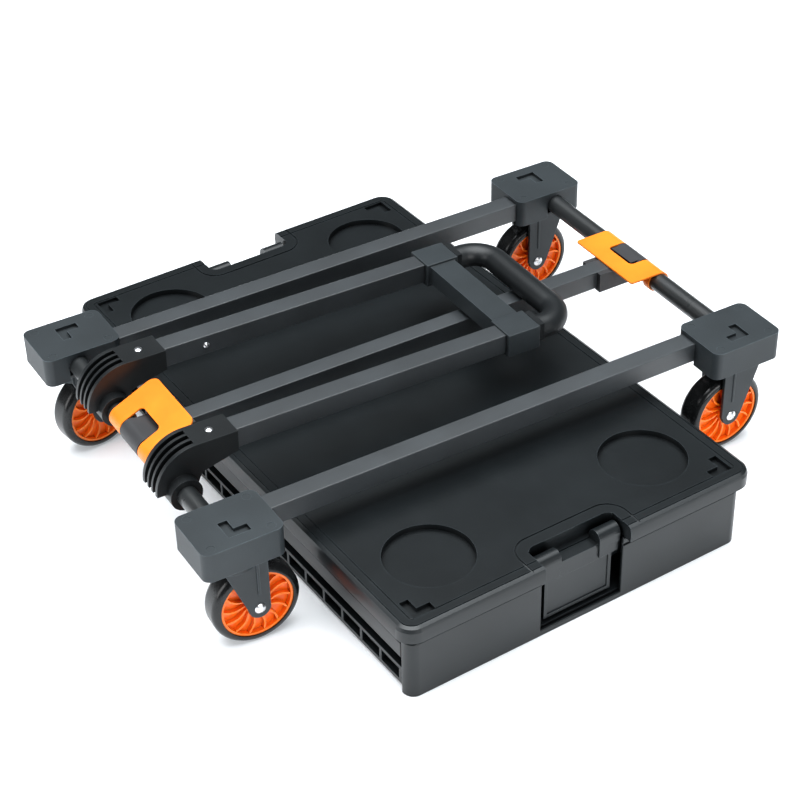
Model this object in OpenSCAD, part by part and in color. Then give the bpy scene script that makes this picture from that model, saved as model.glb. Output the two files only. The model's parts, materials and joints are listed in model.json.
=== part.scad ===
// Folding platform cart: a tube frame on four wheels with a telescopic handle
// folded flat over it, standing over the collapsed lidded crate that is its
// deck. The floor is z = 0, +X runs to the rigid wheels, +Y is the cart's left.

/* [Frame] */
// Length over the corner caps
frame_l = 515; // [500:1:530]
// Width over the corner caps
frame_w = 327.4; // [320:0.2:336]
// Height of the cap tops above the floor
deck_h = 110.8; // [110.6:0.1:112]
// Side of the square side rails
rail = 17; // [15:0.5:17]
// Side of the square centre rail
centre_rail_side = 16; // [14:0.5:16]
// Distance of each side rail's middle from the centre line
rail_y = 127.5; // [126:0.5:129]
// Wall of the square tubes
tube_wall = 1.3; // [1:0.1:1.6]

/* [Corner caps] */
// Length of one cap along the cart
cap_l = 65.6; // [64:0.2:68]
// Width of one cap across the cart
cap_w = 51; // [50:0.2:53]
// Height of the cap's skirt and roof together
cap_h = 24.6; // [24:0.2:26]
// Wall of the cap
cap_wall = 3; // [2:0.2:3.4]

/* [Cross tubes] */
// Radius of the round cross tubes
cross_r = 8; // [7:0.5:8]
// Height of the cross tubes' axes
cross_z = 98.5; // [98:0.1:99]
// Distance of the cross tubes' axes from the middle
cross_x = 230.2; // [229:0.1:231]

/* [Wheels] */
// Tyre radius
tyre_r = 35; // [33:0.5:35]
// Tyre width
tyre_w = 21; // [18:0.5:21]
// Radius where the tyre sits on its hub
hub_r = 28.9; // [26:0.1:29]
// Number of curved spokes on each face of a hub
spokes = 14; // [10:1:16]
// Depth of the pockets between the spokes
pocket = 4.5; // [3:0.1:6]
// Axle radius
axle_r = 4; // [3:0.1:4]
// Trail of the swivel casters
trail = 13; // [11:0.5:14]

/* [Handle] */
// Droop of the folded handle
pitch = 1.15; // [1:0.05:1.2]
// Half the distance between the handle tubes' middles
handle_y = 60.6; // [60:0.1:62]
// Side of the outer handle tube
handle_side = 17; // [16.6:0.1:17]
// Travel of each telescopic stage
stage_travel = 235; // [200:1:235]
// Radius of the grip's tube
grip_r = 10.6; // [10:0.1:11]

/* [Pedals] */
// Rest angle of the rear pedal
rear_tilt = 25; // [20:1:26]
// Thickness of the pedal plates
pedal_t = 1.4; // [1:0.1:1.4]

/* [Crate] */
// Length of the crate's lid
lid_l = 507; // [500:1:512]
// Width of the crate's lid
lid_w = 319.6; // [316:0.2:320]
// Height of the lid's top face
lid_h = 71.1; // [71:0.1:73]
// Turn of the crate as it is parked
crate_turn = 2.7; // [0:0.1:2.8]
// Shift of the crate's middle along the cart
crate_x = -9.9; // [-10:0.1:-6]
// Shift of the crate's middle across the cart
crate_y = -7.3; // [-10:0.1:0]
// Diameter of the round recesses in the lid
recess_d = 69.4; // [60:0.2:70]

/* [Hidden] */
$fn = 64;
plastic = "#2c2f31";
steel = "#222426";
orange = "#ff7a1f";
silver = "#c8ccd0";
rubber = "#151617";

cap_x = frame_l / 2 - cap_l / 2;
cap_y = frame_w / 2 - cap_w / 2;
cap_r = 7;
skirt_z = deck_h - cap_h;
roof_z = deck_h - 3.4;
rail_top = roof_z - 0.6;
rail_end = cross_x - cross_r - 0.6;
centre_z = cross_z - 0.4;
wheel_y = 139;
plate_z = skirt_z + 0.2;
plate_t = 3;
web_top = skirt_z - 0.5;
web_z = 76;
king_r = 5;
king_head_z = web_z - 2.8;
leg_in = tyre_w / 2 + 1.1;
leg_t = 3;
leg_out = leg_in + leg_t;
rigid_back = 3.5;
bush_r = 5.6;
run = 0.05;
swivel_right = -3.2;
swivel_left = 9.4;

knuckle_w = 24.8;
fin_x = 13.2;
fin_z = 2;
fin_r = 33.3;
knuckle_end = 47.7;
tube_mid = 25.5;
tube_start = 14;
sleeve_start = 285.6;
sleeve_end = 315.3;
middle_side = 14;
inner_side = 11.2;
stop_t = 3.3;
grip_x = 348.7;
grip_bend = 22;
grip_start = sleeve_end + 0.7;
grip_z = tube_mid - 1.6;
grip_flat = tube_mid - 6.2;

saddle_r = 9.6;
saddle_w = 30;
ring_r = cross_r + 0.1;
pedal_top = 9.5;

crate_in = 6.2;
wall = 3;
band_z = 57.7;
body_top = band_z - 0.4;
body_r = 9;
end_bead_z = band_z - 7.2;
side_bead_z = band_z - 10.7;
bead_h = 1.6;
lid_r = 14;
slot_u = 145.8;
slot_v = 241.7;
recess_u = 99.3;
recess_v = 193;
latch_w = 74;
latch_v = lid_l / 2 - 16;
latch_z = 61.5;
latch_pin_r = 2.5;
lug_r = 6.6;
flap_w = 62;
notch_l = latch_w + 4;
notch_r = 7;
notch_v = lid_l / 2 - 25.6;
notch_z = 58.2;
side_u = 151;
side_h = 20;
base_z = 3.5;
rim_u = lid_w / 2 - crate_in;
rim_v = 236;
rim_z = 33;
panel_w = 110;
panel_t = 4.6;

// ---- shared shapes ----

module rounded(l, w, r) {
    square([l, w - 2 * r], center = true);
    square([l - 2 * r, w], center = true);
    for (x = [-1, 1], y = [-1, 1])
        translate([x * (l / 2 - r), y * (w / 2 - r)])
            circle(r = r);
}

module slab(l, w, r, z0, z1) {
    translate([0, 0, z0])
        linear_extrude(z1 - z0)
            rounded(l, w, r);
}

module tube_x(side, x0, x1, wall_t) {
    difference() {
        translate([x0, -side / 2, -side / 2])
            cube([x1 - x0, side, side]);
        translate([x0 - 1, -side / 2 + wall_t, -side / 2 + wall_t])
            cube([x1 - x0 + 2, side - 2 * wall_t, side - 2 * wall_t]);
    }
}

module along_y(r, y0, y1) {
    translate([0, y0, 0])
        rotate([-90, 0, 0])
            cylinder(h = y1 - y0, r = r);
}

module side_plate(y0, y1) {
    translate([0, y1, 0])
        rotate([90, 0, 0])
            linear_extrude(y1 - y0)
                children();
}

// Puts a shape at one corner, with its own +X and +Y pointing outwards.
module at_corner(sx, sy) {
    translate([sx * cap_x, sy * cap_y, 0])
        mirror([sx < 0 ? 1 : 0, 0, 0])
            mirror([0, sy < 0 ? 1 : 0, 0])
                children();
}

// An L-shaped recess whose outer corner is at the origin.
module l_slot(arm, w, depth, top) {
    translate([0, 0, top - depth])
        linear_extrude(depth + 1) {
            translate([-arm, -w])
                square([arm, w]);
            translate([-w, -arm])
                square([w, arm]);
        }
}

// ---- corner caps and frame tubes ----

module corner_cap() {
    rail_at = rail_y - cap_y;
    tube_at = cross_x - cap_x;
    color(plastic)
        difference() {
            slab(cap_l, cap_w, cap_r, skirt_z, deck_h);
            slab(cap_l - 2 * cap_wall, cap_w - 2 * cap_wall, cap_r - cap_wall, skirt_z - 1, roof_z);
            translate([-cap_l / 2 - 1, rail_at - rail / 2, skirt_z - 1])
                cube([cap_wall + 2, rail, roof_z - skirt_z + 1]);
            translate([tube_at, -cap_w / 2 - 1, 0]) {
                translate([-cross_r - 0.4, 0, skirt_z - 1])
                    cube([2 * cross_r + 0.8, cap_wall + 2, cross_z - skirt_z + 1]);
                translate([0, 0, cross_z])
                    along_y(cross_r + 0.4, 0, cap_wall + 2);
            }
            translate([7.8, 15, 0])
                l_slot(18, 7.5, 2.8, deck_h);
            for (x = [-1, 1], y = [-1, 1])
                translate([x * 24, y * 19, deck_h - 0.3])
                    cylinder(h = 1, r = 3.4);
        }
}

module corner_cap_rear_left() { at_corner(-1, 1) corner_cap(); }
module corner_cap_rear_right() { at_corner(-1, -1) corner_cap(); }
module corner_cap_front_left() { at_corner(1, 1) corner_cap(); }
module corner_cap_front_right() { at_corner(1, -1) corner_cap(); }

module side_rail(side) {
    color(steel)
        translate([0, side * rail_y, rail_top - rail / 2])
            tube_x(rail, -rail_end, rail_end, tube_wall);
}

module side_rail_left() { side_rail(1); }
module side_rail_right() { side_rail(-1); }

module centre_rail() {
    color(steel)
        translate([0, 0, centre_z])
            tube_x(centre_rail_side, -cross_x + 14, cross_x - 14, tube_wall);
}

module cross_tube(side) {
    half = cap_y + cap_w / 2 - cap_wall - 1;
    color(steel)
        translate([side * cross_x, 0, cross_z])
            difference() {
                along_y(cross_r, -half, half);
                along_y(cross_r - 1.2, -half - 1, half + 1);
            }
}

module cross_tube_rear() { cross_tube(-1); }
module cross_tube_front() { cross_tube(1); }

// Socket of the centre rail, with a saddle round the cross tube and a boss
// that fills the cut-out of the pedal beside it.
module tee(side) {
    boss = side > 0 ? 11 : 15;
    boss_w = 27;
    socket_w = 25.2;
    socket_top = 105.8 - cross_z;
    socket_low = centre_z - cross_z - centre_rail_side / 2 - 1.7;
    color(plastic)
        translate([side * cross_x, 0, cross_z])
            mirror([side > 0 ? 1 : 0, 0, 0])
                difference() {
                    union() {
                        along_y(saddle_r, -saddle_w / 2, saddle_w / 2);
                        translate([0, -boss_w / 2, 0])
                            cube([boss, boss_w, saddle_r]);
                        translate([4, -socket_w / 2, socket_low])
                            cube([37.5, socket_w, socket_top - socket_low]);
                    }
                    along_y(cross_r, -saddle_w, saddle_w);
                    translate([14, -centre_rail_side / 2, centre_z - cross_z - centre_rail_side / 2])
                        cube([40, centre_rail_side, centre_rail_side]);
                }
}

module tee_rear() { tee(-1); }
module tee_front() { tee(1); }

// Countersunk screws that hold each cap to the caster plate or fork below it.
module cap_screws() {
    color(silver)
        for (sx = [-1, 1], sy = [-1, 1])
            at_corner(sx, sy)
                for (x = [-24, 26], y = [-17, 17])
                    translate([x, y, plate_z - 1.6]) {
                        cylinder(h = 1.6, r = 3.2);
                        cylinder(h = 1.6 + plate_t, r = 1.6);
                    }
}

// ---- casters ----

module screw_holes() {
    for (x = [-24, 26], y = [-17, 17])
        translate([x, y, plate_z - 1])
            cylinder(h = plate_t + 2, r = 1.6);
}

module caster_plate(sy) {
    color(steel)
        at_corner(-1, sy)
            difference() {
                slab(cap_l - 2 * cap_wall - 0.4, cap_w - 2 * cap_wall - 0.4, 4, plate_z, plate_z + plate_t);
                translate([0, 0, plate_z - 1])
                    cylinder(h = plate_t + 2, r = king_r);
                screw_holes();
            }
}

module caster_plate_rear_left() { caster_plate(1); }
module caster_plate_rear_right() { caster_plate(-1); }

module king_pins() {
    color(silver)
        for (sy = [-1, 1])
            translate([-cap_x, sy * cap_y, king_head_z]) {
                cylinder(h = plate_z + plate_t - king_head_z, r = king_r);
                cylinder(h = web_z - 0.3 - king_head_z, r = 8);
            }
}

// Outline of a fork leg, drawn with the axle at x = 0.
module leg_outline(back, front, top, narrow) {
    polygon([[front, top], [front, tyre_r], [-narrow, tyre_r - 2], [back, top - 9], [back, top]]);
    translate([0, tyre_r])
        circle(r = 8.6);
}

module fork_legs(back, front, top, narrow) {
    for (s = [-1, 1])
        difference() {
            union() {
                side_plate(s > 0 ? leg_in : -leg_out, s > 0 ? leg_out : -leg_in)
                    leg_outline(back, front, top, narrow);
                translate([-1, s > 0 ? leg_out - 0.2 : -leg_out - 0.8, tyre_r + 14])
                    cube([2.2, 1, top - tyre_r - 22]);
            }
            translate([0, 0, tyre_r])
                along_y(axle_r, -20, 20);
        }
}

// Swivel fork, drawn round its own pivot with +X along the trail.
module swivel_fork(sy, turn) {
    color(plastic)
        translate([-cap_x, sy * cap_y, 0])
            rotate([0, 0, turn])
                difference() {
                    union() {
                        translate([trail, 0, 0])
                            fork_legs(-25, 8.6, web_top, 8);
                        translate([-12, -leg_out, web_z])
                            cube([trail + 20.6, 2 * leg_out, web_top - web_z]);
                        translate([0, 0, web_z])
                            cylinder(h = web_top - web_z, r = 18);
                    }
                    translate([0, 0, web_z - 1])
                        cylinder(h = 20, r = king_r + run);
                }
}

module swivel_fork_left() { swivel_fork(1, swivel_left); }
module swivel_fork_right() { swivel_fork(-1, swivel_right); }

module rigid_fork(sy) {
    color(plastic)
        at_corner(1, sy)
            difference() {
                union() {
                    translate([-rigid_back, wheel_y - cap_y, 0])
                        mirror([1, 0, 0])
                            fork_legs(-25, 9.6, plate_z, 9);
                    slab(cap_l - 2 * cap_wall - 0.4, cap_w - 2 * cap_wall - 0.4, 4, plate_z, plate_z + plate_t);
                    translate([-rigid_back - 9, wheel_y - cap_y - leg_out, web_z])
                        cube([29, 2 * leg_out, plate_z - web_z + 1]);
                }
                screw_holes();
            }
}

module rigid_fork_left() { rigid_fork(1); }
module rigid_fork_right() { rigid_fork(-1); }

// Places a shape with the wheel's middle at the origin and its axle along Y.
module at_rear_wheel(sy, turn) {
    translate([-cap_x, sy * cap_y, 0])
        rotate([0, 0, turn])
            translate([trail, 0, tyre_r])
                children();
}

module at_front_wheel(sy) {
    translate([cap_x - rigid_back, sy * wheel_y, tyre_r])
        children();
}

// Domed head with a cross recess, on the outer face of one fork leg.
module bolt_head(s) {
    difference() {
        intersection() {
            along_y(4.4, s > 0 ? leg_out : -leg_out - 2.4, s > 0 ? leg_out + 2.4 : -leg_out);
            translate([0, s * (leg_out - 4.6), 0])
                sphere(r = 6.6);
        }
        for (a = [0, 90])
            rotate([0, a, 0])
                translate([-2, s > 0 ? leg_out + 1.2 : -leg_out - 6.2, -0.4])
                    cube([4, 5, 0.8]);
    }
}

module axle() {
    color(silver) {
        along_y(axle_r, -leg_out, leg_out);
        for (s = [-1, 1])
            bolt_head(s);
    }
}

module axle_rear_left() { at_rear_wheel(1, swivel_left) axle(); }
module axle_rear_right() { at_rear_wheel(-1, swivel_right) axle(); }
module axles_front() { for (sy = [-1, 1]) at_front_wheel(sy) axle(); }

module tyre() {
    shoulder = 5.4;
    color(rubber)
        rotate([90, 0, 0])
            rotate_extrude($fn = 96)
                intersection() {
                    union() {
                        translate([hub_r, -tyre_w / 2 + shoulder])
                            square([tyre_r - hub_r, tyre_w - 2 * shoulder]);
                        translate([hub_r, -tyre_w / 2])
                            square([tyre_r - shoulder - hub_r, tyre_w]);
                        for (s = [-1, 1])
                            translate([tyre_r - shoulder, s * (tyre_w / 2 - shoulder)])
                                circle(r = shoulder);
                    }
                    translate([hub_r, -tyre_w])
                        square(2 * tyre_w);
                }
}

module tyre_rear_left() { at_rear_wheel(1, swivel_left) tyre(); }
module tyre_rear_right() { at_rear_wheel(-1, swivel_right) tyre(); }
module tyre_front_left() { at_front_wheel(1) tyre(); }
module tyre_front_right() { at_front_wheel(-1) tyre(); }

// One curved spoke, an arc of constant width from the boss to the rim.
module spoke() {
    bend = 15;
    half = 0.8;
    intersection() {
        translate([18, -bend + 1])
            difference() {
                circle(r = bend + half);
                circle(r = bend - half);
            }
        translate([8.6, -2])
            square([18.6, 9]);
    }
}

module hub() {
    hub_w = tyre_w - 2;
    color(orange)
        rotate([90, 0, 0])
            difference() {
                union() {
                    translate([0, 0, -hub_w / 2])
                        difference() {
                            cylinder(h = hub_w, r = hub_r);
                            translate([0, 0, -1])
                                cylinder(h = hub_w + 2, r = hub_r - 2);
                        }
                    translate([0, 0, pocket - hub_w / 2])
                        cylinder(h = hub_w - 2 * pocket, r = hub_r - 1);
                    translate([0, 0, -leg_in + 0.3])
                        cylinder(h = 2 * leg_in - 0.6, r = 9);
                    for (k = [0:spokes - 1])
                        rotate([0, 0, k * 360 / spokes])
                            translate([0, 0, -hub_w / 2 + 0.8])
                                linear_extrude(hub_w - 1.6)
                                    spoke();
                }
                translate([0, 0, -20])
                    cylinder(h = 40, r = bush_r);
            }
}

module hub_rear_left() { at_rear_wheel(1, swivel_left) hub(); }
module hub_rear_right() { at_rear_wheel(-1, swivel_right) hub(); }
module hub_front_left() { at_front_wheel(1) hub(); }
module hub_front_right() { at_front_wheel(-1) hub(); }

module bush() {
    half = leg_in - 0.3;
    color(silver)
        difference() {
            along_y(bush_r, -half, half);
            along_y(axle_r + run, -half - 1, half + 1);
        }
}

module bush_rear_left() { at_rear_wheel(1, swivel_left) bush(); }
module bush_rear_right() { at_rear_wheel(-1, swivel_right) bush(); }
module bush_front_left() { at_front_wheel(1) bush(); }
module bush_front_right() { at_front_wheel(-1) bush(); }

// ---- handle, drawn round the rear cross tube with +X along the tubes ----

module in_handle() {
    translate([-cross_x, 0, cross_z])
        rotate([0, pitch, 0])
            children();
}

module knuckle_outline() {
    top = fin_z + fin_r;
    intersection() {
        translate([fin_x, fin_z])
            circle(r = fin_r, $fn = 128);
        translate([-40, 0])
            square([40 + fin_x, 60]);
    }
    polygon([[fin_x, top], [knuckle_end, top], [knuckle_end, 17.6], [17, 9.5], [9, -9.3], [fin_x - 4, 0]]);
    circle(r = 13);
}

module knuckle(side) {
    half = knuckle_w / 2;
    rib = 2.5;
    gap = (knuckle_w - 2 * 3.4 - 2 * rib) / 3;
    bore_half = handle_side / 2;
    color(plastic)
        in_handle()
            translate([0, side * handle_y, 0])
                difference() {
                    union() {
                        side_plate(-half, half)
                            knuckle_outline();
                        along_y(13, -half - 8, half + 8);
                    }
                    along_y(cross_r + run, -40, 40);
                    for (k = [-1, 0, 1])
                        side_plate(k * (gap + rib) - gap / 2, k * (gap + rib) + gap / 2)
                            difference() {
                                translate([-60, -2])
                                    square([60 + fin_x, 60]);
                                circle(r = 13);
                            }
                    translate([tube_start, -bore_half, tube_mid - bore_half])
                        cube([60, handle_side, handle_side]);
                    translate([tube_start, -bore_half, 0])
                        cube([60, handle_side, tube_mid]);
                }
}

module knuckle_left() { knuckle(1); }
module knuckle_right() { knuckle(-1); }

module handle_tube(side) {
    color(steel)
        in_handle()
            translate([0, side * handle_y, tube_mid])
                tube_x(handle_side, tube_start + 0.2, sleeve_end - stop_t, tube_wall);
}

module handle_tube_left() { handle_tube(1); }
module handle_tube_right() { handle_tube(-1); }

// Two square sleeves on the tube ends, joined by a ribbed channel.
module handle_crosspiece() {
    sleeve_w = 26.4;
    sleeve_z = tube_mid - 10.3;
    sleeve_h = 20.3;
    bridge_l = sleeve_end - sleeve_start - 6.6;
    bridge_y = handle_y - sleeve_w / 2;
    bridge_z = 17.5;
    bridge_top = 33.2;
    color(plastic)
        in_handle() {
            for (s = [-1, 1])
                translate([0, s * handle_y, 0])
                    difference() {
                        translate([sleeve_start, -sleeve_w / 2, sleeve_z])
                            cube([sleeve_end - sleeve_start, sleeve_w, sleeve_h]);
                        translate([sleeve_start - 1, -handle_side / 2, tube_mid - handle_side / 2])
                            cube([sleeve_end - sleeve_start + 1 - stop_t, handle_side, handle_side]);
                        translate([sleeve_end - 10, -middle_side / 2 - 0.2, tube_mid - middle_side / 2 - 0.2])
                            cube([20, middle_side + 0.4, middle_side + 0.4]);
                    }
            difference() {
                translate([sleeve_start + 3.3, -bridge_y, bridge_z])
                    cube([bridge_l, 2 * bridge_y, bridge_top - bridge_z]);
                for (k = [-3:2])
                    translate([sleeve_start + 5.7, k * 15.6 + 1.1, bridge_z - 1])
                        cube([bridge_l - 4.8, 13.4, bridge_top - bridge_z - 1.8]);
            }
        }
}

module handle_rivets() {
    top = fin_z + fin_r;
    color(silver)
        in_handle()
            for (s = [-1, 1]) {
                translate([30, s * handle_y, top])
                    intersection() {
                        cylinder(h = 1.4, r = 3.2);
                        translate([0, 0, -4])
                            sphere(r = 5.4);
                    }
                translate([84, s * (handle_y - handle_side / 2), tube_mid])
                    rotate([s * 90, 0, 0])
                        intersection() {
                            cylinder(h = 1.8, r = 2.6);
                            translate([0, 0, -1.4])
                                sphere(r = 3.2);
                        }
            }
}

module middle_tubes() {
    color(steel)
        in_handle()
            for (s = [-1, 1])
                translate([0, s * handle_y, tube_mid])
                    tube_x(middle_side, 40, sleeve_end + 0.3, 1.2);
}

module inner_tubes() {
    color(steel)
        in_handle()
            for (s = [-1, 1])
                translate([0, s * handle_y, tube_mid])
                    tube_x(inner_side, 50, grip_x - grip_bend, 1.2);
}

// The U of the grip: legs, round bends and crossbar, of one tube radius.
module grip_path(r, start) {
    bend_x = grip_x - grip_bend;
    bend_y = handle_y - grip_bend;
    translate([0, 0, grip_z]) {
        for (s = [-1, 1]) {
            translate([start, s * handle_y, 0])
                rotate([0, 90, 0])
                    cylinder(h = bend_x - start, r = r);
            if (start < bend_x - 5)
                translate([start, s * handle_y - r, -r])
                    cube([5, 2 * r, 2 * r]);
            translate([bend_x, s * bend_y, 0])
                mirror([0, s < 0 ? 1 : 0, 0])
                    rotate_extrude(angle = 90, $fn = 96)
                        translate([grip_bend, 0])
                            circle(r = r);
        }
        translate([grip_x, 0, 0])
            along_y(r, -bend_y, bend_y);
    }
}

module grip_half(z0, z1) {
    hollow_r = 4;
    color(plastic)
        in_handle()
            difference() {
                intersection() {
                    grip_path(grip_r, grip_start);
                    translate([300, -90, z0])
                        cube([90, 180, z1 - z0]);
                }
                grip_path(hollow_r, grip_x - grip_bend - 0.01);
                for (s = [-1, 1])
                    translate([300, s * handle_y - inner_side / 2, tube_mid - inner_side / 2])
                        cube([grip_x - grip_bend - 300, inner_side, inner_side]);
            }
}

module grip_upper() { grip_half(grip_z, grip_z + 20); }
module grip_lower() { grip_half(grip_flat, grip_z); }

// ---- pedals that turn on the cross tubes ----

module pedal_plate(reach, half_w, corner, cut) {
    difference() {
        union() {
            translate([0, -half_w])
                square([reach - corner, 2 * half_w]);
            translate([0, -half_w + corner])
                square([reach, 2 * half_w - 2 * corner]);
            for (s = [-1, 1])
                translate([reach - corner, s * (half_w - corner)])
                    circle(r = corner);
        }
        translate([cut / 2 - 10, 0])
            rounded(cut + 20, saddle_w + 2, 4);
    }
}

module pedal(side, tilt, reach, half_w, corner, cut) {
    color(orange)
        translate([side * cross_x, 0, cross_z])
            mirror([side > 0 ? 1 : 0, 0, 0])
                rotate([0, -tilt, 0]) {
                    translate([0, 0, pedal_top - pedal_t])
                        linear_extrude(pedal_t)
                            difference() {
                                pedal_plate(reach, half_w, corner, cut);
                                translate([-1, -half_w - 1])
                                    square([1.01, 2 * half_w + 2]);
                            }
                    for (s = [-1, 1])
                        difference() {
                            along_y(pedal_top, s > 0 ? saddle_w / 2 + 1 : -half_w, s > 0 ? half_w : -saddle_w / 2 - 1);
                            along_y(ring_r, -60, 60);
                            for (y = [-60, half_w - 3])
                                mirror([0, s < 0 ? 1 : 0, 0])
                                    translate([0, y, -20])
                                        cube([20, y < 0 ? 50 + half_w : 60, 20 + pedal_top - pedal_t]);
                        }
                }
}

module pedal_rear() { pedal(-1, rear_tilt, 39.6, 35, 8, 17); }
module pedal_front() { pedal(1, 0, 29.4, 39.5, 2.5, 13); }

// ---- collapsed crate ----

module in_crate() {
    translate([crate_x, crate_y, 0])
        rotate([0, 0, crate_turn])
            children();
}

// Tray with a low foot under its middle and a latticed rail on each side.
module crate_base() {
    half = rim_v - 3;
    pockets = 18;
    pitch_v = (2 * half - 4) / pockets;
    color(plastic)
        in_crate() {
            slab(2 * side_u - 4, lid_l - 20, 6, base_z, base_z + 3);
            slab(2 * side_u - 50, lid_l - 80, 12, 0, base_z + 1);
            for (s = [-1, 1])
                difference() {
                    translate([s * side_u - (s > 0 ? 9 : 0), -half, base_z])
                        cube([9, 2 * half, side_h - base_z]);
                    for (k = [0:pockets - 1])
                        translate([s * side_u - (s > 0 ? 5 : 1), 3.5 - half + k * pitch_v, base_z + 3.4])
                            cube([6, pitch_v - 3, side_h - base_z - 6.6]);
                }
        }
}

// End wall with rounded corner posts and an opening for the latch.
module crate_end(side) {
    color(plastic)
        in_crate()
            mirror([0, side < 0 ? 1 : 0, 0])
                difference() {
                    slab(lid_w - 2 * crate_in, lid_l - 2 * crate_in, body_r, 0, body_top);
                    slab(2 * rim_u - 2 * wall, lid_l - 2 * crate_in - 2 * wall, body_r - wall, -1, 100);
                    translate([-200, -300, -1])
                        cube([400, 300 + rim_v + 0.5, 100]);
                    translate([-latch_w / 2 - 0.5, rim_v, 5])
                        cube([latch_w + 1, 80, 100]);
                    difference() {
                        slab(lid_w, lid_l, lid_r, end_bead_z, end_bead_z + bead_h);
                        slab(2 * rim_u - 2.6, lid_l - 2 * crate_in - 2.6, body_r - 1.3, 0, 100);
                    }
                }
}

module crate_end_near() { crate_end(-1); }
module crate_end_far() { crate_end(1); }

module crate_rim() {
    rim_t = 4;
    color(plastic)
        in_crate()
            difference() {
                translate([-rim_u, -rim_v, rim_z])
                    cube([2 * rim_u, 2 * rim_v, body_top - rim_z]);
                translate([-rim_u + rim_t, -rim_v + rim_t, 0])
                    cube([2 * rim_u - 2 * rim_t, 2 * rim_v - 2 * rim_t, 100]);
                translate([-notch_l / 2 - 2, -rim_v - 1, latch_z - 9.2])
                    cube([notch_l + 4, 2 * rim_v + 2, 20]);
                for (s = [-1, 1])
                    translate([s * rim_u - 1.3, -300, side_bead_z])
                        cube([2.6, 600, bead_h]);
            }
}

// One thin layer of the lid, for its rounded upper edge.
module lid_layer(inset, z0, z1) {
    slab(lid_w - 2 * inset, lid_l - 2 * inset, lid_r - inset, z0, z1);
}

module lid_groove(inset, w) {
    difference() {
        lid_layer(inset, lid_h - 0.6, lid_h + 1);
        lid_layer(inset + w, lid_h - 1, lid_h + 2);
    }
}

// Ring round the latch notch, measured outwards from the notch's own outline.
module notch_shape(grow, z0, z1) {
    translate([0, notch_v + 35, 0])
        slab(notch_l + 2 * grow, 70 + 2 * grow, notch_r + grow, z0, z1);
}

module crate_lid() {
    color(plastic)
        in_crate()
            difference() {
                union() {
                    difference() {
                        union() {
                            lid_layer(0, band_z, lid_h - 4);
                            hull() {
                                lid_layer(0, lid_h - 4.5, lid_h - 4);
                                lid_layer(1.2, lid_h - 1.7, lid_h - 1.2);
                                lid_layer(3.6, lid_h - 0.5, lid_h);
                            }
                        }
                        lid_layer(3, band_z - 1, lid_h - 8);
                    }
                    intersection() {
                        lid_layer(0.5, 0, 100);
                        for (s = [-1, 1])
                            mirror([0, s < 0 ? 1 : 0, 0])
                                notch_shape(3, band_z, lid_h - 7);
                    }
                    for (s = [-1, 1])
                        translate([-notch_l / 2 - 2, s * notch_v - (s > 0 ? 2 : 3.5), notch_z - 2])
                            cube([notch_l + 4, 5.5, 2]);
                }
                lid_groove(3.9, 0.8);
                lid_groove(10.5, 1.3);
                for (u = [-1, 1], v = [-1, 1]) {
                    translate([u * recess_u, v * recess_v, lid_h - 5])
                        cylinder(h = 10, r = recess_d / 2, $fn = 96);
                    mirror([u < 0 ? 1 : 0, 0, 0])
                        mirror([0, v < 0 ? 1 : 0, 0])
                            translate([slot_u, slot_v, 0])
                                l_slot(18.5, 7.4, 3.4, lid_h);
                }
                for (s = [-1, 1])
                    mirror([0, s < 0 ? 1 : 0, 0]) {
                        difference() {
                            notch_shape(10.6, lid_h - 0.8, lid_h + 1);
                            notch_shape(9, lid_h - 1, lid_h + 2);
                        }
                        notch_shape(0, notch_z, lid_h + 1);
                        translate([-notch_l / 2, notch_v + 3.5, 0])
                            cube([notch_l, 60, 100]);
                    }
            }
}

// A folded side panel, lying flat with a stiffening frame of ribs.
module crate_panel(side, level) {
    z0 = side_h + 0.4 + level * (panel_t + 0.4);
    u0 = side > 0 ? side_u - 8 - panel_w : -side_u + 8;
    color(plastic)
        in_crate()
            difference() {
                translate([u0, -224, z0])
                    cube([panel_w, 448, panel_t]);
                for (k = [-3:2])
                    translate([u0 + 8, k * 73 + 4, z0 + 2])
                        cube([panel_w - 16, 65, panel_t]);
            }
}

module crate_panel_left_lower() { crate_panel(-1, 0); }
module crate_panel_left_upper() { crate_panel(-1, 1); }
module crate_panel_right_lower() { crate_panel(1, 2); }
module crate_panel_right_upper() { crate_panel(1, 3); }

// Latch flap hanging in the end wall's opening from two lugs on a pin.
module crate_latch(side) {
    face = latch_v + 4.5;
    lug_w = 19.3;
    color(plastic)
        in_crate()
            mirror([0, side < 0 ? 1 : 0, 0])
                difference() {
                    union() {
                        translate([-flap_w / 2, face - 3, 9.5])
                            cube([flap_w, 3, 47]);
                        translate([-latch_w / 2 + 0.2, latch_v - 5.3, 54.8])
                            cube([latch_w - 0.4, 9.8, 3.2]);
                        for (s = [-1, 1])
                            translate([s > 0 ? 17.5 : -17.5 - lug_w, latch_v, latch_z]) {
                                rotate([0, 90, 0])
                                    cylinder(h = lug_w, r = lug_r);
                                translate([0, 0, -7])
                                    cube([lug_w, lug_r, 7]);
                                translate([0.8, 0, -16])
                                    cube([lug_w - 1.6, 5.8, 9.5]);
                            }
                    }
                    translate([-60, latch_v, latch_z])
                        rotate([0, 90, 0])
                            cylinder(h = 120, r = latch_pin_r + run);
                    translate([-flap_w / 2 + 3, face - 0.9, 12.5])
                        cube([flap_w - 6, 3, 31]);
                }
}

module crate_latch_near() { crate_latch(-1); }
module crate_latch_far() { crate_latch(1); }

module crate_latch_pins() {
    color(silver)
        in_crate()
            for (s = [-1, 1], u = [17.5, -notch_l / 2])
                translate([u, s * latch_v, latch_z])
                    rotate([0, 90, 0])
                        cylinder(h = notch_l / 2 - 17.5, r = latch_pin_r);
}

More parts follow.
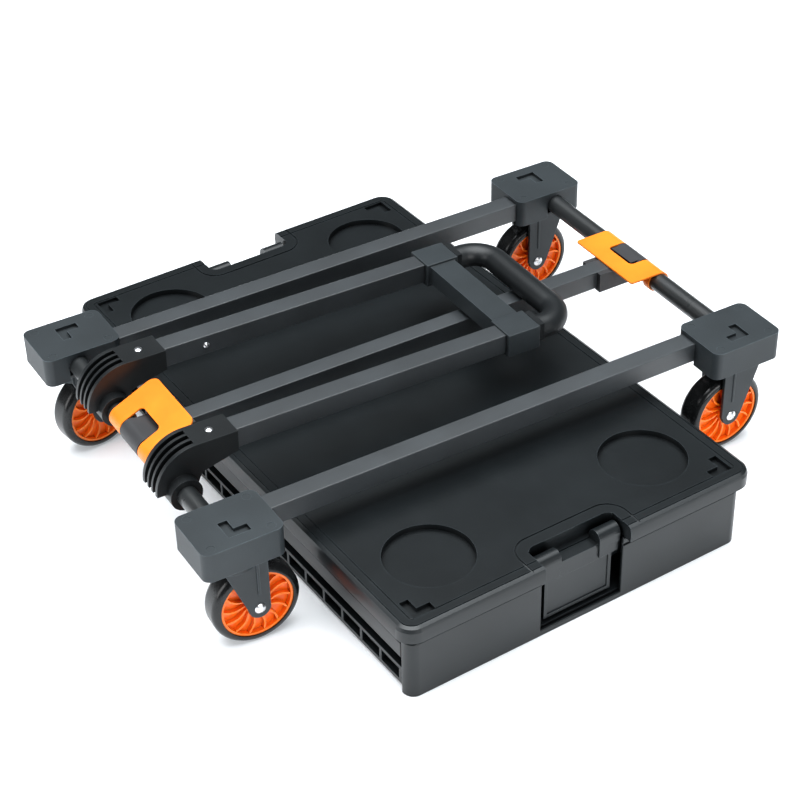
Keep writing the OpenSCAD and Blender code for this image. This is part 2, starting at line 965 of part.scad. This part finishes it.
corner_cap_rear_left();
corner_cap_rear_right();
corner_cap_front_left();
corner_cap_front_right();
side_rail_left();
side_rail_right();
centre_rail();
cross_tube_rear();
cross_tube_front();
tee_rear();
tee_front();
cap_screws();
caster_plate_rear_left();
caster_plate_rear_right();
king_pins();
swivel_fork_left();
swivel_fork_right();
rigid_fork_left();
rigid_fork_right();
axle_rear_left();
axle_rear_right();
axles_front();
tyre_rear_left();
tyre_rear_right();
tyre_front_left();
tyre_front_right();
hub_rear_left();
hub_rear_right();
hub_front_left();
hub_front_right();
bush_rear_left();
bush_rear_right();
bush_front_left();
bush_front_right();
knuckle_left();
knuckle_right();
handle_tube_left();
handle_tube_right();
handle_crosspiece();
handle_rivets();
middle_tubes();
inner_tubes();
grip_upper();
grip_lower();
pedal_rear();
pedal_front();
crate_base();
crate_end_near();
crate_end_far();
crate_rim();
crate_lid();
crate_panel_left_lower();
crate_panel_left_upper();
crate_panel_right_lower();
crate_panel_right_upper();
crate_latch_near();
crate_latch_far();
crate_latch_pins();
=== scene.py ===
"""Looks of the folding platform cart: materials, floor, light and camera."""
import json
import math

import bpy
from mathutils import Matrix, Vector

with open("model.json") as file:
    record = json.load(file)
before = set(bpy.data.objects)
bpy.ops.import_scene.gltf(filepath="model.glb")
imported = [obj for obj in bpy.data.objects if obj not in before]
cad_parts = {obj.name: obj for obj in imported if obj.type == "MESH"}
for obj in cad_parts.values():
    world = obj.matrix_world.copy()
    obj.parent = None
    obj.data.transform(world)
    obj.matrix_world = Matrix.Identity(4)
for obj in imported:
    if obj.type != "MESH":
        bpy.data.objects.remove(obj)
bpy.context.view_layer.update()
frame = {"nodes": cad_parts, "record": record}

NODES = frame["nodes"]
MM = 0.001


# ---- node helpers ----

class Nodes:
    """A material's node tree, with short calls that add and link nodes."""

    def __init__(self, name):
        self.mat = bpy.data.materials.new(name)
        self.mat.use_nodes = True
        self.tree = self.mat.node_tree
        self.shader = next(n for n in self.tree.nodes if n.type == "BSDF_PRINCIPLED")
        self.place = self.add("ShaderNodeTexCoord").outputs["Object"]

    def add(self, kind, **values):
        node = self.tree.nodes.new(kind)
        for key, value in values.items():
            setattr(node, key, value)
        return node

    def link(self, source, target):
        self.tree.links.new(source, target)

    def feed(self, target, value):
        if hasattr(value, "is_output"):
            self.link(value, target)
        else:
            target.default_value = value

    def noise(self, scale, detail=3.0, rough=0.55, stretch=(1, 1, 1)):
        mapping = self.add("ShaderNodeMapping")
        mapping.inputs["Scale"].default_value = stretch
        self.link(self.place, mapping.inputs["Vector"])
        tex = self.add("ShaderNodeTexNoise")
        self.link(mapping.outputs["Vector"], tex.inputs["Vector"])
        tex.inputs["Scale"].default_value = scale
        tex.inputs["Detail"].default_value = detail
        tex.inputs["Roughness"].default_value = rough
        return tex.outputs["Fac"]

    def spread(self, value, low, high, out_low=0.0, out_high=1.0):
        node = self.add("ShaderNodeMapRange", clamp=True)
        self.feed(node.inputs["Value"], value)
        node.inputs["From Min"].default_value = low
        node.inputs["From Max"].default_value = high
        node.inputs["To Min"].default_value = out_low
        node.inputs["To Max"].default_value = out_high
        return node.outputs["Result"]

    def math(self, operation, a, b=0.0):
        node = self.add("ShaderNodeMath", operation=operation)
        self.feed(node.inputs[0], a)
        self.feed(node.inputs[1], b)
        return node.outputs[0]

    def mix(self, factor, a, b):
        node = self.add("ShaderNodeMix", data_type="RGBA")
        self.feed(node.inputs[0], factor)
        self.feed(node.inputs[6], a)
        self.feed(node.inputs[7], b)
        return node.outputs[2]

    def edges(self, radius):
        """About 1 on sharp outer and inner edges within the radius, 0 on flat faces."""
        bevel = self.add("ShaderNodeBevel", samples=6)
        bevel.inputs["Radius"].default_value = radius
        true = self.add("ShaderNodeNewGeometry")
        dot = self.add("ShaderNodeVectorMath", operation="DOT_PRODUCT")
        self.link(bevel.outputs["Normal"], dot.inputs[0])
        self.link(true.outputs["Normal"], dot.inputs[1])
        return self.spread(dot.outputs["Value"], 0.97, 0.8)

    def shade(self, colour, reach):
        """Painted shade: darkens a colour inside slots, seams and inner corners, where shade falls."""
        open_sky = self.add("ShaderNodeAmbientOcclusion", samples=6)
        open_sky.inputs["Distance"].default_value = reach
        # painted shade: the colour gets darker the less open sky the AO node finds
        painted_shade = self.spread(open_sky.outputs["AO"], 0.3, 0.9, 0.12, 1.0)
        node = self.add("ShaderNodeMix", data_type="RGBA", blend_type="MULTIPLY")
        self.feed(node.inputs[0], 1.0)
        self.feed(node.inputs[6], colour)
        self.link(painted_shade, node.inputs[7])
        return node.outputs[2]

    def bump(self, height, distance, strength=1.0):
        node = self.add("ShaderNodeBump")
        node.inputs["Strength"].default_value = strength
        node.inputs["Distance"].default_value = distance
        self.link(height, node.inputs["Height"])
        self.link(node.outputs["Normal"], self.shader.inputs["Normal"])


def rgb(colour):
    return (*colour, 1.0)


def lighter(colour, factor):
    return tuple(min(1.0, c * factor) for c in colour)


def moulded(name, colour, rough, grain=900.0, depth=0.00006, edge_wear_and_highlight=1.9, coat=0.0, scuffs=0.07,
            reach=0.006):
    """Injection-moulded plastic: fine spark grain, soft blotches, edges lightened partly as real rubbing and
    partly as painted highlight, painted shade in slots, seams and inner corners.
    """
    n = Nodes(name)
    blotch = n.spread(n.noise(14.0, 5.0), 0.35, 0.68)
    base = n.mix(blotch, rgb(lighter(colour, 0.86)), rgb(lighter(colour, 1.18)))
    scuff = n.spread(n.noise(55.0, 6.0, 0.7, (1.0, 1.0, 1.0)), 0.56, 0.74)
    # edge lightening: partly edge wear, partly a painted highlight on outer and inner edges; the colour then
    # gets painted shade in slots, seams and inner corners
    worn_and_highlit_edges = n.math("MULTIPLY", n.edges(0.0011), n.spread(n.noise(70.0, 4.0), 0.3, 0.65, 0.25, 1.0))
    n.link(n.shade(n.mix(worn_and_highlit_edges, base, rgb(lighter(colour, edge_wear_and_highlight))), reach), n.shader.inputs["Base Color"])
    n.link(n.math("ADD", n.spread(scuff, 0, 1, rough, rough + scuffs), n.math("MULTIPLY", worn_and_highlit_edges, -0.07)),
           n.shader.inputs["Roughness"])
    n.shader.inputs["Coat Weight"].default_value = coat
    n.shader.inputs["Coat Roughness"].default_value = 0.2
    n.bump(n.noise(grain, 2.0, 0.5), depth, 0.6)
    return n.mat


def powder_coat(name, colour, rough):
    """Black powder-coated steel tube: orange peel, faint rubbing streaks along its length, edges lightened
    partly as real rubbing and partly as painted highlight.
    """
    n = Nodes(name)
    tone = n.spread(n.noise(22.0, 4.0), 0.35, 0.7)
    base = n.mix(tone, rgb(lighter(colour, 0.85)), rgb(lighter(colour, 1.25)))
    # edges lightened towards grey: partly edge wear, partly a painted highlight
    worn_and_highlit_edges = n.math("MULTIPLY", n.edges(0.0009), n.spread(n.noise(90.0, 5.0), 0.42, 0.7))
    n.link(n.mix(worn_and_highlit_edges, base, rgb((0.11, 0.11, 0.115))), n.shader.inputs["Base Color"])
    streaks = n.spread(n.noise(40.0, 4.0, 0.6, (0.12, 1.0, 1.0)), 0.3, 0.7, rough - 0.05, rough + 0.08)
    n.link(streaks, n.shader.inputs["Roughness"])
    n.shader.inputs["Coat Weight"].default_value = 1.0
    n.shader.inputs["Coat Roughness"].default_value = 0.52
    n.bump(n.noise(420.0, 2.0, 0.5), 0.00005, 0.5)
    return n.mat


def tyre_rubber(name, colour):
    """Polyurethane tread: smooth, dusty towards its running surface."""
    n = Nodes(name)
    dust = n.spread(n.noise(60.0, 5.0, 0.65), 0.45, 0.8)
    n.link(n.mix(dust, rgb(colour), rgb(lighter(colour, 2.2))), n.shader.inputs["Base Color"])
    n.link(n.spread(n.noise(45.0, 4.0), 0.3, 0.7, 0.17, 0.3), n.shader.inputs["Roughness"])
    n.bump(n.noise(500.0, 2.0), 0.00004, 0.4)
    return n.mat


def bright_metal(name, colour, rough):
    """Zinc-plated steel with a fine brushed sheen and slight clouding."""
    n = Nodes(name)
    cloud = n.spread(n.noise(120.0, 4.0), 0.3, 0.7)
    n.link(n.mix(cloud, rgb(lighter(colour, 0.82)), rgb(colour)), n.shader.inputs["Base Color"])
    n.shader.inputs["Metallic"].default_value = 1.0
    n.link(n.spread(n.noise(260.0, 3.0, 0.6, (1, 1, 0.15)), 0.3, 0.7, rough, rough + 0.15),
           n.shader.inputs["Roughness"])
    n.bump(n.noise(700.0, 2.0, 0.5, (1, 1, 0.1)), 0.00003, 0.4)
    return n.mat


# edge lightening in these materials is part wear, part painted highlight; reach sets how far the painted
# shade spreads in slots and seams
MATERIALS = {
    "moulded_plastic": moulded("moulded_black", (0.0295, 0.036, 0.0402), 0.5, edge_wear_and_highlight=3.6),
    "crate_plastic": moulded("crate_black", (0.0125, 0.0150, 0.0165), 0.31, 700.0, 0.00005, 4.5, 0.0, 0.035),
    "tee_plastic": moulded("tee_grey", (0.045, 0.045, 0.048), 0.5),
    "black_steel": powder_coat("powder_coat_black", (0.026, 0.031, 0.035), 0.48),
    "pedal_plastic": moulded("pedal_orange", (0.97, 0.25, 0.022), 0.36, 800.0, 0.00004, 1.2, reach=0.001),
    "hub_plastic": moulded("hub_orange", (1.0, 0.185, 0.011), 0.3, 800.0, 0.00003, 2.4, 0.2, reach=0.0006),
    "tyre": tyre_rubber("tyre_black", (0.010, 0.0105, 0.011)),
    "bright_steel": bright_metal("zinc_plate", (0.86, 0.87, 0.89), 0.2),
}
GLOSSY_STEEL = powder_coat("cross_tube_black", (0.010, 0.012, 0.013), 0.3)
SOFT_GRIP = moulded("grip_black", (0.013, 0.015, 0.0165), 0.42, 1100.0, 0.00005, 2.2)
KNUCKLE_BLACK = moulded("knuckle_black", (0.012, 0.0138, 0.015), 0.4, 1100.0, 0.00005, 2.6)
SPECIAL = {"knuckle_left": KNUCKLE_BLACK, "knuckle_right": KNUCKLE_BLACK,
           "cross_tube_rear": GLOSSY_STEEL, "cross_tube_front": GLOSSY_STEEL,
           "grip_upper": SOFT_GRIP, "grip_lower": SOFT_GRIP}


# ---- CAD nodes: material, softened edges ----

EDGE_WIDTH = {"crate_plastic": 0.9, "moulded_plastic": 0.7, "tee_plastic": 0.7, "black_steel": 0.8,
              "pedal_plastic": 0.35, "hub_plastic": 0.25, "tyre": 0.3, "bright_steel": 0.25}


def soften(obj, width):
    weld = obj.modifiers.new("join_corners", "WELD")
    weld.merge_threshold = 0.00001
    bevel = obj.modifiers.new("soft_edges", "BEVEL")
    bevel.width = width * MM
    bevel.segments = 2
    bevel.limit_method = "ANGLE"
    bevel.angle_limit = math.radians(35)
    bevel.use_clamp_overlap = True
    bevel.harden_normals = False
    normals = obj.modifiers.new("even_shading", "WEIGHTED_NORMAL")
    normals.keep_sharp = False


for row in frame["record"]["subparts"]:
    part = NODES[row["node"]]
    part.data.materials.clear()
    part.data.materials.append(SPECIAL.get(row["node"], MATERIALS[row["material_slot"]]))
    part.data.shade_smooth()
    soften(part, EDGE_WIDTH[row["material_slot"]])


# ---- stage, light and camera ----

def floor():
    bpy.ops.mesh.primitive_plane_add(size=90.0, location=(0, 0, -0.0002))
    plane = bpy.context.object
    plane.name = "floor"
    n = Nodes("pale_floor")
    tone = n.spread(n.noise(3.0, 2.0), 0.3, 0.7)
    n.link(n.mix(tone, rgb((0.76, 0.77, 0.785)), rgb((0.80, 0.805, 0.815))), n.shader.inputs["Base Color"])
    n.shader.inputs["Roughness"].default_value = 0.7
    n.shader.inputs["Emission Color"].default_value = (0.92, 0.96, 1.0, 1.0)
    n.shader.inputs["Emission Strength"].default_value = 0.22
    plane.data.materials.append(n.mat)


def area_light(name, spot, aim, size, power, colour=(1, 1, 1)):
    data = bpy.data.lights.new(name, "AREA")
    data.shape = "RECTANGLE"
    data.size, data.size_y = size
    data.energy = power
    data.color = colour
    lamp = bpy.data.objects.new(name, data)
    bpy.context.scene.collection.objects.link(lamp)
    lamp.location = spot
    lamp.rotation_euler = (Vector(aim) - Vector(spot)).to_track_quat("-Z", "Y").to_euler()


def sky():
    """Studio surround: bright overhead, dim towards the walls."""
    world = bpy.data.worlds.new("studio")
    world.use_nodes = True
    tree = world.node_tree
    place = tree.nodes.new("ShaderNodeTexCoord")
    split = tree.nodes.new("ShaderNodeSeparateXYZ")
    ramp = tree.nodes.new("ShaderNodeMapRange")
    ramp.interpolation_type = "SMOOTHSTEP"
    for key, value in (("From Min", 0.72), ("From Max", 0.97), ("To Min", 0.1), ("To Max", 4.2)):
        ramp.inputs[key].default_value = value
    tree.links.new(place.outputs["Generated"], split.inputs[0])
    tree.links.new(split.outputs["Z"], ramp.inputs["Value"])
    glow = tree.nodes["Background"]
    glow.inputs["Color"].default_value = (0.93, 0.975, 1.0, 1.0)
    tree.links.new(ramp.outputs["Result"], glow.inputs["Strength"])
    bpy.context.scene.world = world


def light():
    sky()
    middle = (0, 0, 0.05)
    area_light("overhead_softbox", (-0.3, 0.2, 2.6), middle, (2.6, 2.6), 36.0)
    area_light("left_softbox", (-2.4, 0.5, 0.9), middle, (1.6, 1.4), 20.0)
    area_light("near_softbox", (0.1, -2.6, 1.1), middle, (2.0, 1.0), 26.0)


def camera():
    azimuth, elevation, roll = (math.radians(a) for a in (-30.43, 36.42, -1.27))
    back = Vector((math.sin(azimuth) * math.cos(elevation), -math.cos(azimuth) * math.cos(elevation),
                   math.sin(elevation)))
    level = Vector((math.cos(azimuth), math.sin(azimuth), 0))
    upright = back.cross(level)
    right = level * math.cos(roll) + upright * math.sin(roll)
    up = upright * math.cos(roll) - level * math.sin(roll)
    data = bpy.data.cameras.new("camera")
    data.sensor_width = 36.0
    data.lens = 89.86
    data.clip_start = 0.01
    cam = bpy.data.objects.new("camera", data)
    turn = Matrix((right, up, back)).transposed().to_4x4()
    cam.matrix_world = Matrix.Translation(Vector((-668.7, -1136.8, 1016.2)) * MM) @ turn
    bpy.context.scene.collection.objects.link(cam)
    bpy.context.scene.camera = cam


floor()
light()
camera()
bpy.context.scene.view_settings.view_transform = "Standard"
bpy.context.scene.view_settings.look = "Medium High Contrast"
